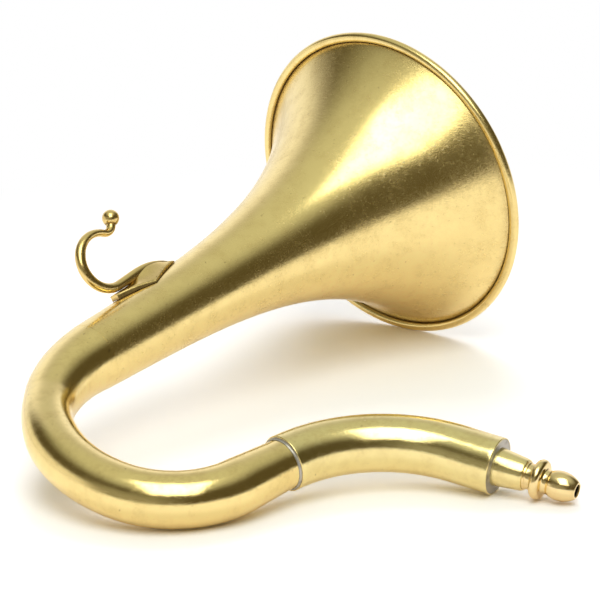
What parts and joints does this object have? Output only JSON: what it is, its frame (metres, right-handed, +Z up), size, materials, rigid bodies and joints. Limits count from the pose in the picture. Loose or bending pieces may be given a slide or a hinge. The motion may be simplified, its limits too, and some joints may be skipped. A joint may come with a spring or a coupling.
{
  "type": "signal horn",
  "caption": "Small curved brass signal horn with a flared bell, an S-shaped tube, a soldered sleeve, an olive-tipped mouthpiece and a ball-ended belt hook.",
  "frame": {"origin": "on the table plane under the middle of the horn's bounding box as it lies on its side", "axes": "+Z up from the table; the bell's axis leans 9.4 degrees up from +X, so the bell opens towards +X; the mouthpiece points towards -Y"},
  "size_m": [0.1944, 0.19, 0.0987],
  "materials": {
    "sheet_brass": "satin, worn, with fine hairline scratches and darker tarnish",
    "turned_brass": "polished, turned",
    "gilding_brass": "polished, redder brass",
    "brass_wire": "drawn",
    "spring_brass": "rolled spring temper",
    "tin_solder": "dull wiped tin-lead solder"
  },
  "bodies": {
    "horn": {"bell": "sheet_brass", "rim_wire": "brass_wire", "crook": "sheet_brass", "joint_solder": "tin_solder", "sleeve": "sheet_brass", "end_plug": "turned_brass", "end_solder": "tin_solder", "socket": "turned_brass", "reed_block": "turned_brass", "shallot": "turned_brass", "reed_wedge": "turned_brass", "reed_band": "turned_brass", "hook_plate": "sheet_brass", "hook": "sheet_brass"},
    "mouthpiece": {"mouthpiece": "gilding_brass"},
    "tongue": {"tongue": "spring_brass"}
  },
  "joints": [
    {"name": "mouthpiece_pull", "type": "slide", "parent": "horn", "child": "mouthpiece", "axis": [0.2127, -0.9623, -0.1697], "range_m": [0, 0.012]},
    {"name": "tongue_beat", "type": "hinge", "parent": "horn", "child": "tongue", "pos_m": [-0.01609, -0.0563, 0.0103], "axis": [0.9641, 0.1783, 0.1968], "range_deg": [-2, 2], "stiffness_Nm_per_rad": 0.002}
  ]
}
